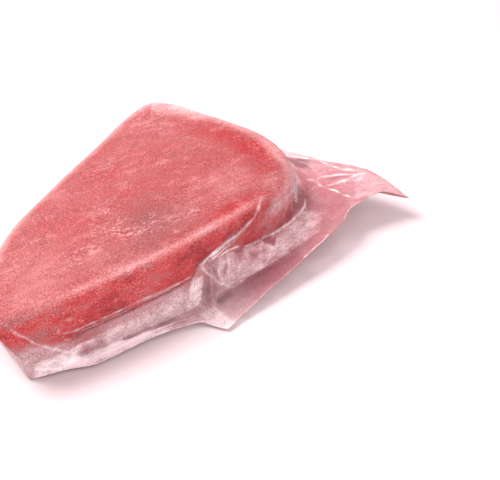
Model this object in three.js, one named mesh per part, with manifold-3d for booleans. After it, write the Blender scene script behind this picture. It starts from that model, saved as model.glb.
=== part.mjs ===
// Tuna steak sealed in a clear vacuum pouch, lying flat. Millimetres, +Z up.
// +X runs along the steak's long straight front side, +Y points to its back, and the underside is on z = 0.
// The pack is one solid: the wrapped steak, and the pouch's skirt where its two films are sealed together.
import * as THREE from "three";
import { mergeVertices } from "three/addons/utils/BufferGeometryUtils.js";
import Module from "manifold-3d";

// Steak.
const STEAK_THICKNESS = 26;
const FRONT_EDGE_RADIUS = 4;
const BACK_EDGE_RADIUS = 6.5;
const ROUND_END_EDGE_RADIUS = 9;
const ROUND_END_FROM_X = 80;
const ROUND_END_TO_X = 112;
const ROUND_END_FROM_Y = 60;
const ROUND_END_TO_Y = 30;
const FOOT_RADIUS = 2.5;
const FOOT_INSET = 1.2;
const TOP_CROWN = 0.6;
const TOP_HOLLOW = 0.4;

// The steak's left end tapers in under its top edge, over this height and this far.
const TAPER_HEIGHT = 21;
const TAPER_INSET = 10.5;
const TAPER_POWER = 1.3;
const TAPER_FROM_X = -19;
const TAPER_TO_X = 18;

// Pouch skirt.
const SKIRT_THICKNESS = 1;
const SKIRT_LOWEST = 0.2;
const SKIRT_UNDER_ROOT_DEPTH = 3;
const SKIRT_TOP_ROOT_DEPTH = 1;

// Moves the middle of the pack's bounding box onto the origin.
const FRAME_SHIFT_X = -63.55;
const FRAME_SHIFT_Y = -42.25;

// Mesh density.
const OUTLINE_SAMPLES = 2000;
const OUTLINE_STEPS = 132;
const TOP_RINGS = 5;
const EDGE_RINGS = 6;
const WALL_RINGS = 6;
const FOOT_RINGS = 3;
const UNDERSIDE_RINGS = 2;
const WIDE_STEPS = 4;
const SECTION_CORNERS = 7;

// Plan point that the rings of the top face and the underside close in on.
const FACE_CENTRE = new THREE.Vector3(54, 42, 0);

// The steak's widest outline in plan, anticlockwise from the front left corner.
const OUTLINE = [
  [-18, 2], [4, -0.5], [25.5, -0.5], [49.5, 0.5], [73, 3.5], [93, 8], [109.5, 17], [118.5, 30],
  [119.5, 45.5], [114.5, 61.5], [109.5, 76], [104.5, 89], [96, 95.5], [81.5, 90.5], [57.5, 77.5],
  [31, 63], [6.5, 48], [-12, 29], [-20, 12],
];

// The skirt round the back and the left end is a narrow drooping strip. It leaves the steak's wall, passes
// an inner and an outer fold and ends in the free edge, each with a reach out from the wall and a height.
const NARROW_SECTIONS = 36;
const NARROW_LEAVE = 10;
const NARROW_INNER = { reach: 2.8, height: 8.6 };
const NARROW_OUTER = { reach: 5.6, height: 7.6 };
const NARROW_EDGE = { reach: 8.2, height: 7 };
const NARROW_UNDER = 5;

// One wide section of the skirt. It leaves the steak's wall beside the plan point `wall` at the height
// `leave`, runs over an inner and an outer fold to the free edge, and is back at the wall at `under`.
function wideSection(wall, leave, inner, outer, edge, under) {
  return { wall, leave, inner, outer, edge, under };
}

// Round the left end the skirt is tucked under, and along the front it drops to the floor and lies on it.
const FRONT_SKIRT = [
  wideSection([-15.5, 23.5], 10, [-11, 24, 8.4], [-12.5, 24.8, 7.4], [-13.8, 25.5, 6.5], 5),
  wideSection([-19.8, 14], 12, [-14.8, 14, 9], [-14.4, 13.8, 7], [-14.2, 13.4, 5.5], 3),
  wideSection([-20.8, 7], 14, [-15.5, 7, 9], [-14, 6, 5], [-13.4, 5, 2.4], 0.6),
  wideSection([-18.2, 2.4], 18.5, [-15, 2.6, 12], [-14, 2, 6], [-13.3, 1.3, 1.2], 0),
  wideSection([-0.7, 0], 11.5, [-0.7, 0.2, 5], [-0.7, -1, 1.4], [-0.7, -3.3, 1.2], 0),
  wideSection([8, -0.5], 11.3, [8, 0.4, 1.4], [8.5, -3, 1.3], [8.7, -6.7, 1.2], 0),
  wideSection([23, -0.5], 10.6, [23, -0.6, 1.4], [23.5, -3.8, 1.5], [24, -6.8, 1.5], 0),
  wideSection([44.5, 0.4], 11, [44.5, -2.3, 1.4], [45, -6, 1.9], [45.9, -10.6, 2], 0),
];

// From a pointed fold in the front to the pouch's right corner it rises into a loose flap.
const FLAP_SKIRT = [
  wideSection([50.3, 0.7], 11.6, [49.3, -2.6, 1.6], [49.5, -9.5, 1.6], [49, -14.5, 1.3], 0),
  wideSection([54.5, 1.1], 16.6, [53.8, -1.8, 2.8], [53, -10, 1.8], [51.8, -18.4, 1.2], 0),
  wideSection([59.6, 1.6], 18, [59.8, 0.3, 15], [59.5, -2, 2.2], [58.2, -16.8, 2], 0),
  wideSection([74, 3.6], 22.5, [74.6, 3.2, 12], [73, -0.6, 2.6], [70, -14.3, 4], 1),
  wideSection([88, 6.6], 22.6, [88, 5.8, 9.8], [86, -0.8, 4], [85, -11.2, 6], 3),
  wideSection([103, 13], 20, [104, 10.5, 9.2], [99, -0.8, 6.6], [97, -8.8, 8], 6.5),
  wideSection([113, 21], 18, [116, 18, 9.6], [114, 4, 9.6], [115.8, -3.9, 10], 7.5),
  wideSection([115.2, 24], 17, [118.6, 21.5, 10.8], [121, 9, 10.5], [125.9, 0.7, 11], 8),
  wideSection([116.6, 26.4], 16.5, [120.4, 23.2, 11.2], [128, 12, 12], [137.7, -0.1, 12.5], 8.5),
  wideSection([117.6, 28.4], 16.5, [121.4, 24.9, 11.6], [134, 9, 11], [148, -5.6, 8.5], 9),
  wideSection([119.2, 33.5], 15.5, [123.6, 31, 12], [133, 21, 13.4], [143.2, 12.6, 14], 9),
  wideSection([119.8, 42.5], 14.5, [126.5, 40, 11.6], [131, 36.5, 11.8], [135.7, 32.1, 12], 9),
  wideSection([117.8, 53], 12, [124, 51.5, 10.4], [128, 50.5, 10.2], [131.5, 49.4, 10], 8),
  wideSection([115.3, 60], 11, [118.7, 60.9, 9.4], [122, 61.7, 8.6], [124.5, 62.3, 8], 7),
  wideSection([111, 72], 10, [113.7, 72.9, 8.6], [116.3, 73.8, 7.6], [118.8, 74.7, 7], 5),
];

const wasm = await Module();
wasm.setup();

const outline = new THREE.CatmullRomCurve3(
  OUTLINE.map(([x, y]) => new THREE.Vector3(x, y, 0)),
  true,
  "catmullrom",
  0.5,
);
outline.arcLengthDivisions = OUTLINE_SAMPLES;
const outlineSamples = outline.getSpacedPoints(OUTLINE_SAMPLES).slice(0, OUTLINE_SAMPLES);

// Unit outward normal of the outline at the arc length fraction u.
function outlineNormal(u) {
  const tangent = outline.getTangentAt(u);
  return new THREE.Vector3(tangent.y, -tangent.x, 0).normalize();
}

// Radius of the steak's top edge: small in front, larger at the back and largest round the right end.
function topEdgeRadius(u) {
  const normal = outlineNormal(u);
  const point = outline.getPointAt(u);
  const back = THREE.MathUtils.smoothstep(normal.y, -0.2, 0.6);
  const alongX = THREE.MathUtils.smoothstep(point.x, ROUND_END_FROM_X, ROUND_END_TO_X);
  const alongY = 1 - THREE.MathUtils.smoothstep(point.y, ROUND_END_TO_Y, ROUND_END_FROM_Y);
  const roundEnd = THREE.MathUtils.smoothstep(normal.x, 0.3, 0.9) * alongX * alongY;
  const backGain = (BACK_EDGE_RADIUS - FRONT_EDGE_RADIUS) * back;
  const endGain = (ROUND_END_EDGE_RADIUS - FRONT_EDGE_RADIUS) * roundEnd;
  return FRONT_EDGE_RADIUS + backGain + endGain;
}

// How far a circular rounding of the given radius cuts in, at the distance d past its start.
function roundingInset(radius, d) {
  const past = THREE.MathUtils.clamp(d, 0, radius);
  return radius - Math.sqrt(radius * radius - past * past);
}

// Point of the steak's surface between foot and top edge, at the arc length fraction u and the height z.
function wallPoint(u, z) {
  const radius = topEdgeRadius(u);
  const slope = Math.pow(THREE.MathUtils.clamp(1 - z / TAPER_HEIGHT, 0, 1), TAPER_POWER);
  const top = roundingInset(radius, z - (STEAK_THICKNESS - radius));
  const foot = roundingInset(FOOT_RADIUS, FOOT_RADIUS - z);
  const point = outline.getPointAt(u);
  point.addScaledVector(outlineNormal(u), -(top + foot + FOOT_INSET * slope));
  const taper = 1 - THREE.MathUtils.smoothstep(point.x, TAPER_FROM_X, TAPER_TO_X);
  point.x += TAPER_INSET * slope * taper;
  point.z = z;
  return point;
}

// Point of the top face, s from 0 at its centre to 1 at its rim.
function topFacePoint(u, s) {
  const point = FACE_CENTRE.clone().lerp(wallPoint(u, STEAK_THICKNESS), s);
  const hollow = TOP_HOLLOW * Math.sin(Math.PI * s) * Math.sin(2 * Math.PI * u);
  point.z = STEAK_THICKNESS + TOP_CROWN * (1 - s * s) + hollow;
  return point;
}

// Point of the flat underside, s from 0 at its centre to 1 at its rim.
function undersidePoint(u, s) {
  return FACE_CENTRE.clone().lerp(wallPoint(u, 0), s).setZ(0);
}

// The steak's surface at the arc length fraction u, one function for each band from the top face down.
function steakBands(u) {
  const radius = topEdgeRadius(u);
  const wallTop = STEAK_THICKNESS - radius;
  const quarter = Math.PI / 2;
  return [
    { rings: TOP_RINGS, at: (s) => topFacePoint(u, s) },
    { rings: EDGE_RINGS, at: (s) => wallPoint(u, wallTop + radius * Math.cos(s * quarter)) },
    { rings: WALL_RINGS, at: (s) => wallPoint(u, THREE.MathUtils.lerp(wallTop, FOOT_RADIUS, s)) },
    { rings: FOOT_RINGS, at: (s) => wallPoint(u, FOOT_RADIUS * (1 - Math.sin(s * quarter))) },
    { rings: UNDERSIDE_RINGS, at: (s) => undersidePoint(u, 1 - s) },
  ];
}

// One column of points down the steak's surface, from the centre of the top to that of the underside.
function steakColumn(u) {
  const column = [topFacePoint(u, 0)];
  for (const { rings, at } of steakBands(u)) {
    for (let ring = 1; ring <= rings; ring += 1) {
      column.push(at(ring / rings));
    }
  }
  return column;
}

// Bends a closed grid of vertices: the one in a given column and row goes to place(column, row).
function bend(geometry, columns, rows, place) {
  const position = geometry.getAttribute("position");
  for (let row = 0; row <= rows; row += 1) {
    for (let column = 0; column <= columns; column += 1) {
      const point = place(column % columns, row);
      position.setXYZ(row * (columns + 1) + column, point.x, point.y, point.z);
    }
  }
  geometry.deleteAttribute("normal");
  geometry.deleteAttribute("uv");
  return mergeVertices(geometry, 1e-4);
}

// The steak as a closed ball of columns, bent to shape.
function steakGeometry() {
  const rows = TOP_RINGS + EDGE_RINGS + WALL_RINGS + FOOT_RINGS + UNDERSIDE_RINGS;
  const ball = new THREE.SphereGeometry(1, OUTLINE_STEPS, rows);
  const columns = [];
  for (let column = 0; column < OUTLINE_STEPS; column += 1) {
    columns.push(steakColumn(column / OUTLINE_STEPS));
  }
  return bend(ball, OUTLINE_STEPS, rows, (column, row) => columns[column][row]);
}

// Arc length fraction of the outline point nearest to a plan point.
function nearestFraction([x, y]) {
  const distances = outlineSamples.map((point) => Math.hypot(point.x - x, point.y - y));
  return distances.indexOf(Math.min(...distances)) / OUTLINE_SAMPLES;
}

// Station of the skirt made from one of its wide sections.
function wideStation({ wall, leave, inner, outer, edge, under }) {
  return {
    u: nearestFraction(wall),
    steps: WIDE_STEPS,
    leave,
    inner: new THREE.Vector3(...inner),
    outer: new THREE.Vector3(...outer),
    edge: new THREE.Vector3(...edge),
    under,
  };
}

// Station of the narrow strip at the arc length fraction u.
function narrowStation(u) {
  const beside = ({ reach, height }) => wallPoint(u, height).addScaledVector(outlineNormal(u), reach);
  return {
    u,
    steps: 1,
    leave: NARROW_LEAVE,
    inner: beside(NARROW_INNER),
    outer: beside(NARROW_OUTER),
    edge: beside(NARROW_EDGE),
    under: NARROW_UNDER,
  };
}

// All stations of the skirt, anticlockwise: the front, the flap, and the narrow strip spread evenly
// between their ends.
function skirtStations() {
  const wide = [...FRONT_SKIRT, ...FLAP_SKIRT].map(wideStation);
  const first = wide[0].u;
  const last = wide[wide.length - 1].u;
  const narrow = [];
  for (let i = 1; i <= NARROW_SECTIONS; i += 1) {
    narrow.push(narrowStation(THREE.MathUtils.lerp(last, first, i / (NARROW_SECTIONS + 1))));
  }
  return [...wide, ...narrow];
}

// Mixes two stations, t from 0 at the first to 1 at the second.
function mixedStation(a, b, t) {
  const span = (b.u - a.u + 1) % 1;
  return {
    u: (a.u + span * t) % 1,
    leave: THREE.MathUtils.lerp(a.leave, b.leave, t),
    under: THREE.MathUtils.lerp(a.under, b.under, t),
    inner: a.inner.clone().lerp(b.inner, t),
    outer: a.outer.clone().lerp(b.outer, t),
    edge: a.edge.clone().lerp(b.edge, t),
  };
}

// A point of the skirt's lower side, under the given point of its upper side.
function lowered(point) {
  return point.clone().setZ(Math.max(point.z - SKIRT_THICKNESS, SKIRT_LOWEST));
}

// Corners of the skirt's section, from the free edge over the top to the wall and back underneath.
function skirtSection({ u, leave, under, inner, outer, edge }) {
  const normal = outlineNormal(u);
  const rootTop = wallPoint(u, leave + 1).addScaledVector(normal, -SKIRT_TOP_ROOT_DEPTH);
  const rootUnder = wallPoint(u, under).addScaledVector(normal, -SKIRT_UNDER_ROOT_DEPTH);
  rootUnder.z = Math.max(under, SKIRT_LOWEST);
  return [edge, outer, inner, rootTop, rootUnder, lowered(outer), lowered(edge)];
}

// The skirt as a closed ring of sections, bent to shape.
function skirtGeometry() {
  const stations = skirtStations();
  const sections = [];
  for (const [index, a] of stations.entries()) {
    const b = stations[(index + 1) % stations.length];
    for (let i = 0; i < a.steps; i += 1) {
      sections.push(skirtSection(mixedStation(a, b, i / a.steps)));
    }
  }
  const columns = sections.length;
  const ring = new THREE.TorusGeometry(1, 0.2, SECTION_CORNERS, columns);
  return bend(ring, columns, SECTION_CORNERS, (column, row) => sections[column][row % SECTION_CORNERS]);
}

function toManifold(geometry) {
  const mesh = new wasm.Mesh({
    numProp: 3,
    vertProperties: new Float32Array(geometry.getAttribute("position").array),
    triVerts: new Uint32Array(geometry.getIndex().array),
  });
  return new wasm.Manifold(mesh);
}

function toGeometry(solid) {
  const mesh = solid.getMesh();
  const geometry = new THREE.BufferGeometry();
  geometry.setAttribute("position", new THREE.BufferAttribute(mesh.vertProperties, 3));
  geometry.setIndex(new THREE.BufferAttribute(mesh.triVerts, 1));
  geometry.computeVertexNormals();
  return geometry;
}

const wrappedSteak = toManifold(steakGeometry());
const skirt = toManifold(skirtGeometry());
const pack = wrappedSteak.add(skirt).translate([FRAME_SHIFT_X, FRAME_SHIFT_Y, 0]);

const flesh = new THREE.MeshStandardMaterial({ color: 0xdc7478, roughness: 0.35, metalness: 0 });
const steakPack = new THREE.Mesh(toGeometry(pack), flesh);
steakPack.name = "steak_pack";

const part = new THREE.Group();
part.name = "vacuum_packed_tuna_steak";
part.add(steakPack);

export default part;
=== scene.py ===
"""Looks of a raw tuna steak sealed in a clear vacuum pouch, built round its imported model.

The steak is one thick wedge of frozen flesh, and the pouch is one closed bag of clear film that is shrunk
onto it, stands off it in folds and ends in a sealed skirt with a loose corner flap. Shapes are worked out in
millimetres, in the pack's own plan coordinates, and are moved to the frame's metres as a piece is finished.
"""

import logging
import math
from bisect import bisect_right
from collections.abc import Sequence
from dataclasses import astuple, dataclass, field
from enum import Enum
from functools import cached_property

import bmesh
import bpy
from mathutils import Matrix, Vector, kdtree, noise
from mathutils.bvhtree import BVHTree
from mathutils.geometry import normal as plane_normal


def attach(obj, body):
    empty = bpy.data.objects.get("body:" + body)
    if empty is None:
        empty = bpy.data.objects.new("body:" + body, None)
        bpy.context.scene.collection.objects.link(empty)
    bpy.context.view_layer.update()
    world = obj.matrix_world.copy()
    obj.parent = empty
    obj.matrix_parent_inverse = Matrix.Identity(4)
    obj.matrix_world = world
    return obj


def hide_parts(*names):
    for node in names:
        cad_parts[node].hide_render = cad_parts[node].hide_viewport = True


log = logging.getLogger("tuna_pack")

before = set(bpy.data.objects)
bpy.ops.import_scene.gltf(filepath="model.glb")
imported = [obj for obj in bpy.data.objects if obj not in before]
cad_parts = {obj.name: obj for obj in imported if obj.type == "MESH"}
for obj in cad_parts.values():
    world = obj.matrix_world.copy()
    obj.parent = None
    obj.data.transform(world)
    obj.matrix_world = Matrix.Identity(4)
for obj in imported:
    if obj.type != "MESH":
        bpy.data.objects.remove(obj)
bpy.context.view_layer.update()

MM = 0.001
TINY = 1e-9
NODE = "steak_pack"
# From the plan coordinates to the frame's, and the film's least height above the floor, in millimetres.
FRAME_SHIFT = Vector((-63.55, -42.25, 0.0))
FLOOR_GAP = 0.08

Pair = tuple[float, float]
Triple = tuple[float, float, float]
Point = Triple
Colour = Triple


def clamp(value: float, low: float = 0.0, high: float = 1.0) -> float:
    """The value, held between low and high."""
    return min(max(value, low), high)


def ease(value: float, start: float, end: float) -> float:
    """A smooth step from 0 at start to 1 at end, which may be the lower of the two."""
    t = clamp((value - start) / (end - start))
    return t * t * (3 - 2 * t)


def mix(a: float, b: float, t: float) -> float:
    """The number t of the way from a to b."""
    return a + (b - a) * t


def noise_at(point: Vector, sizes: Triple, shift: float = 0.0) -> float:
    """Soft noise at a point, with features of the given size along each axis, shifted along the last."""
    x, y, z = (place / size for place, size in zip(point, sizes))
    return noise.noise(Vector((x, y, z + shift)))


def linear(red: int, green: int, blue: int) -> Colour:
    """Linear light of a colour given in 0 to 255 display values."""
    shares = (value / 255 for value in (red, green, blue))
    return tuple(s / 12.92 if s <= 0.04045 else ((s + 0.055) / 1.055) ** 2.4 for s in shares)


@dataclass(frozen=True)
class Ramp:
    """A number that goes smoothly from low to high between two places on a scale."""

    low: float
    high: float
    start: float
    end: float

    def at(self, place: float) -> float:
        """The number at a place on the scale."""
        return mix(self.low, self.high, ease(place, self.start, self.end))


@dataclass(frozen=True)
class Facing:
    """How far a wall faces the way x, y in plan, smoothly from 0 at start to 1 at end."""

    x: float
    y: float
    start: float
    end: float

    def share(self, normal: Vector) -> float:
        """The share for a wall's outward normal."""
        return ease(self.x * normal.x + self.y * normal.y, self.start, self.end)


# -------------------------------------------------------------------------------------------------------
# Form of the pack
# -------------------------------------------------------------------------------------------------------


@dataclass
class Outline:
    """The steak's widest outline in plan, a closed smooth curve through its points, read by arc length."""

    points: Sequence[Pair] = (
        (-18, 2), (4, -0.5), (25.5, -0.5), (49.5, 0.5), (73, 3.5), (93, 8), (109.5, 17), (118.5, 30),
        (119.5, 45.5), (114.5, 61.5), (109.5, 76), (104.5, 89), (96, 95.5), (81.5, 90.5), (57.5, 77.5),
        (31, 63), (6.5, 48), (-12, 29), (-20, 12),
    )
    samples: int = 1900
    probe: float = 0.001

    def spline(self, t: float) -> Vector:
        """Point of the curve.

        Args:
            t: The curve's parameter, from 0 to 1 round the outline.

        Returns:
            The point in plan.
        """
        count = len(self.points)
        whole = math.floor(t * count)
        f = t * count - whole
        a, b, c, d = (Vector(self.points[(whole + k) % count]) for k in (-1, 0, 1, 2))
        bend = (2 * b) + (c - a) * f + (2 * a - 5 * b + 4 * c - d) * f * f + (3 * b - a - 3 * c + d) * f ** 3
        return bend * 0.5

    @cached_property
    def lengths(self) -> list[float]:
        """Arc length at each sample of the curve, from its start.

        Returns:
            One length more than there are samples, as the first is 0.
        """
        lengths = [0.0]
        last = self.spline(0)
        for i in range(1, self.samples + 1):
            here = self.spline(i / self.samples)
            lengths.append(lengths[-1] + (here - last).length)
            last = here
        return lengths

    def at(self, u: float) -> Vector:
        """Point of the outline.

        Args:
            u: Fraction of the outline's length.

        Returns:
            The point in plan.
        """
        goal = (u % 1.0) * self.lengths[-1]
        i = min(bisect_right(self.lengths, goal), self.samples)
        low, high = self.lengths[i - 1], self.lengths[i]
        return self.spline((i - 1 + (goal - low) / max(high - low, TINY)) / self.samples)

    def normal(self, u: float) -> Vector:
        """Unit outward normal of the outline at the fraction u of its length."""
        along = self.at(u + self.probe) - self.at(u - self.probe)
        return Vector((along.y, -along.x)).normalized()

    @cached_property
    def plan(self) -> list[Vector]:
        """Points spread evenly along the outline."""
        return [self.at(i / self.samples) for i in range(self.samples)]

    def nearest(self, place: Pair) -> float:
        """Where the outline comes nearest to a place.

        Args:
            place: The place in plan.

        Returns:
            The fraction of the outline's length there.
        """
        goal = Vector(place)
        distances = [(point - goal).length_squared for point in self.plan]
        return distances.index(min(distances)) / self.samples


@dataclass(frozen=True)
class Meridian:
    """The outline at one fraction of its length: place, outward normal and the steak's top edge radius."""

    u: float
    place: Vector
    normal: Vector
    radius: float


@dataclass
class SteakForm:
    """Surface of the steak under the film: a flat topped wedge with rounded edges and a tapering left end."""

    outline: Outline = field(default_factory=Outline)
    thickness: float = 26.0
    front_radius: float = 4.0
    back_radius: float = 6.5
    end_radius: float = 9.0
    back_facing: Facing = Facing(0.0, 1.0, -0.2, 0.6)
    end_facing: Facing = Facing(1.0, 0.0, 0.3, 0.9)
    end_x: Pair = (80.0, 112.0)
    end_y: Pair = (30.0, 60.0)
    foot_radius: float = 2.5
    foot_inset: float = 1.2
    crown: float = 0.6
    hollow: float = 0.4
    taper_height: float = 21.0
    taper_inset: float = 10.5
    taper_power: float = 1.3
    taper_x: Pair = (-19.0, 18.0)
    centre: Pair = (54.0, 42.0)

    def meridian(self, u: float) -> Meridian:
        """The outline with its top edge radius: small in front, larger at the back and the right end.

        Args:
            u: Fraction of the outline's length.

        Returns:
            The meridian there.
        """
        place, normal = self.outline.at(u), self.outline.normal(u)
        back = self.back_facing.share(normal)
        end = self.end_facing.share(normal) * ease(place.x, *self.end_x) * (1 - ease(place.y, *self.end_y))
        gain = (self.back_radius - self.front_radius) * back + (self.end_radius - self.front_radius) * end
        return Meridian(u, place, normal, self.front_radius + gain)

    def wall(self, at: Meridian, z: float, grow: float = 0.0) -> Vector:
        """Point of the surface between foot and top edge.

        Args:
            at: The meridian it lies on.
            z: Its height.
            grow: How far it stands outside the steak.

        Returns:
            The point.
        """
        slope = clamp(1 - z / self.taper_height) ** self.taper_power
        inset = self.foot_inset * slope - grow
        inset += self.rounding(at.radius, z - (self.thickness - at.radius))
        inset += self.rounding(self.foot_radius, self.foot_radius - z)
        plan = at.place - at.normal * inset
        taper = 1 - ease(plan.x, *self.taper_x)
        return Vector((plan.x + self.taper_inset * slope * taper, plan.y, z))

    @staticmethod
    def rounding(radius: float, past: float) -> float:
        """How far a circular rounding cuts in, at a distance past its start."""
        past = clamp(past, 0.0, radius)
        return radius - math.sqrt(max(radius * radius - past * past, 0.0))

    def skin(self, at: Meridian, down: float, grow: float) -> Vector:
        """Point of the surface below the rim of the top face.

        Args:
            at: The meridian it lies on.
            down: Its distance from the rim, along the surface.
            grow: How far it stands off the surface.

        Returns:
            The point.
        """
        tilt = min(down / at.radius, math.pi / 2)
        past = max(down - at.radius * math.pi / 2, 0.0)
        z = self.thickness - at.radius + at.radius * math.cos(tilt) - past
        point = self.wall(at, z, grow * math.sin(tilt))
        point.z += grow * math.cos(tilt)
        return point

    def down_to(self, at: Meridian, z: float) -> float:
        """Distance along the surface from the rim of the top face down to a height.

        Args:
            at: The meridian to follow.
            z: The height.

        Returns:
            The distance.
        """
        above = z - self.thickness + at.radius
        if above > 0:
            return at.radius * math.acos(min(above / at.radius, 1.0))
        return at.radius * math.pi / 2 - above

    def top(self, at: Meridian, s: float, grow: float = 0.0) -> Vector:
        """Point of the top face.

        Args:
            at: The meridian it lies on.
            s: Its place on it, from 0 at the face's centre to 1 at its rim.
            grow: How far it stands above the face.

        Returns:
            The point.
        """
        point = Vector((*self.centre, 0.0)).lerp(self.wall(at, self.thickness), s)
        wave = self.hollow * math.sin(math.pi * s) * math.sin(2 * math.pi * at.u)
        point.z = self.thickness + self.crown * (1 - s * s) + wave + grow
        return point

    def under(self, at: Meridian, s: float) -> Vector:
        """Point of the flat underside, s from 0 at its centre to 1 at its rim."""
        return Vector((*self.centre, 0.0)).lerp(self.wall(at, 0.0), s)


@dataclass(frozen=True)
class Section:
    """One section of the pouch's skirt, from the steak's wall over two folds to the free edge.

    It says where on the outline it stands, at what height the film leaves the wall, the places of the folds
    and the edge, where the lower film meets the wall, how milky the three stretches are and how pink it is.
    """

    wall: Pair
    leave: float
    inner: Point
    outer: Point
    edge: Point
    under: float
    veil: Triple
    blush: float

    def numbers(self) -> tuple[float, ...]:
        """All that varies along the skirt, as one row of numbers."""
        return (self.leave, *self.inner, *self.outer, *self.edge, self.under, *self.veil, self.blush)


@dataclass(frozen=True)
class Cut:
    """The skirt at one place, read off between its sections."""

    u: float
    leave: float
    inner: Vector
    outer: Vector
    edge: Vector
    under: float
    veil: Triple
    blush: float


LEFT_VEIL = (0.26, 0.36, 0.44)
FRONT_VEIL = (0.48, 0.44, 0.50)
MIDDLE_VEIL = (0.62, 0.50, 0.50)
CORNER_VEIL = (0.50, 0.48, 0.44)
FLAP_VEIL = (0.18, 0.64, 0.46)
END_VEIL = (0.62, 0.66, 0.64)
BACK_VEIL = (0.26, 0.30, 0.30)

WIDE_SECTIONS = (
    Section((-15.5, 23.5), 10, (-11, 24, 8.4), (-12.5, 24.8, 7.4), (-13.8, 25.5, 6.5), 5, BACK_VEIL, 0.2),
    Section((-19.8, 14), 12, (-14.8, 14, 9), (-14.4, 13.8, 7), (-14.2, 13.4, 5.5), 3, LEFT_VEIL, 0.6),
    Section((-20.8, 7), 14, (-15.5, 7, 9), (-14, 6, 5), (-13.4, 5, 2.4), 0.6, LEFT_VEIL, 0.6),
    Section((-18.2, 2.4), 18.5, (-15, 2.6, 12), (-14, 2, 6), (-13.3, 1.3, 1.2), 0, LEFT_VEIL, 0.6),
    Section((-0.7, 0), 11.5, (-0.7, 0.2, 5), (-0.7, -1, 1.4), (-0.7, -3.3, 1.2), 0, FRONT_VEIL, 0.6),
    Section((8, -0.5), 11.3, (8, 0.4, 1.4), (8.5, -3, 1.3), (8.7, -6.7, 1.2), 0, FRONT_VEIL, 0.55),
    Section((23, -0.5), 10.6, (23, -0.6, 1.4), (23.5, -3.8, 1.5), (24, -6.8, 1.5), 0, MIDDLE_VEIL, 0.35),
    Section((44.5, 0.4), 11, (44.5, -2.3, 1.4), (45, -6, 1.9), (45.9, -10.6, 2), 0, MIDDLE_VEIL, 0.25),
    Section((50.3, 0.7), 11.6, (49.3, -2.6, 1.6), (49.5, -9.5, 1.6), (49, -14.5, 1.3), 0, CORNER_VEIL, 0.4),
    Section((54.5, 1.1), 16.6, (53.8, -1.8, 2.8), (53, -10, 1.8), (51.8, -18.4, 1.2), 0, CORNER_VEIL, 0.4),
    Section((59.6, 1.6), 18, (59.8, 0.3, 15), (59.5, -2, 2.2), (58.2, -16.8, 2), 0, CORNER_VEIL, 0.4),
    Section((74, 3.6), 22.5, (74.6, 3.2, 12), (73, -0.6, 2.6), (70, -14.3, 4), 1, FLAP_VEIL, 0.8),
    Section((88, 6.6), 22.6, (88, 5.8, 9.8), (86, -0.8, 4), (85, -11.2, 6), 3, FLAP_VEIL, 1.0),
    Section((103, 13), 20, (104, 10.5, 9.2), (99, -0.8, 6.6), (97, -8.8, 8), 6.5, FLAP_VEIL, 1.0),
    Section((113, 21), 18, (116, 18, 9.6), (114, 4, 9.6), (115.8, -3.9, 10), 7.5, FLAP_VEIL, 1.0),
    Section((115.2, 24), 17, (118.6, 21.5, 10.8), (121, 9, 10.5), (125.9, 0.7, 11), 8, END_VEIL, 1.0),
    Section((116.6, 26.4), 16.5, (120.4, 23.2, 11.2), (128, 12, 12), (137.7, -0.1, 12.5), 8.5, END_VEIL, 1.0),
    Section((117.6, 28.4), 16.5, (121.4, 24.9, 11.6), (134, 9, 11), (148, -5.6, 8.5), 9, END_VEIL, 1.0),
    Section((119.2, 33.5), 15.5, (123.6, 31, 12), (133, 21, 13.4), (143.2, 12.6, 14), 9, END_VEIL, 1.0),
    Section((119.8, 42.5), 14.5, (126.5, 40, 11.6), (131, 36.5, 11.8), (135.7, 32.1, 12), 9, END_VEIL, 0.9),
    Section((117.8, 53), 12, (124, 51.5, 10.4), (128, 50.5, 10.2), (131.5, 49.4, 10), 8, BACK_VEIL, 0.6),
    Section((115.3, 60), 11, (118.7, 60.9, 9.4), (122, 61.7, 8.6), (124.5, 62.3, 8), 7, BACK_VEIL, 0.4),
    Section((111, 72), 10, (113.7, 72.9, 8.6), (116.3, 73.8, 7.6), (118.8, 74.7, 7), 5, BACK_VEIL, 0.3),
)


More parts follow.
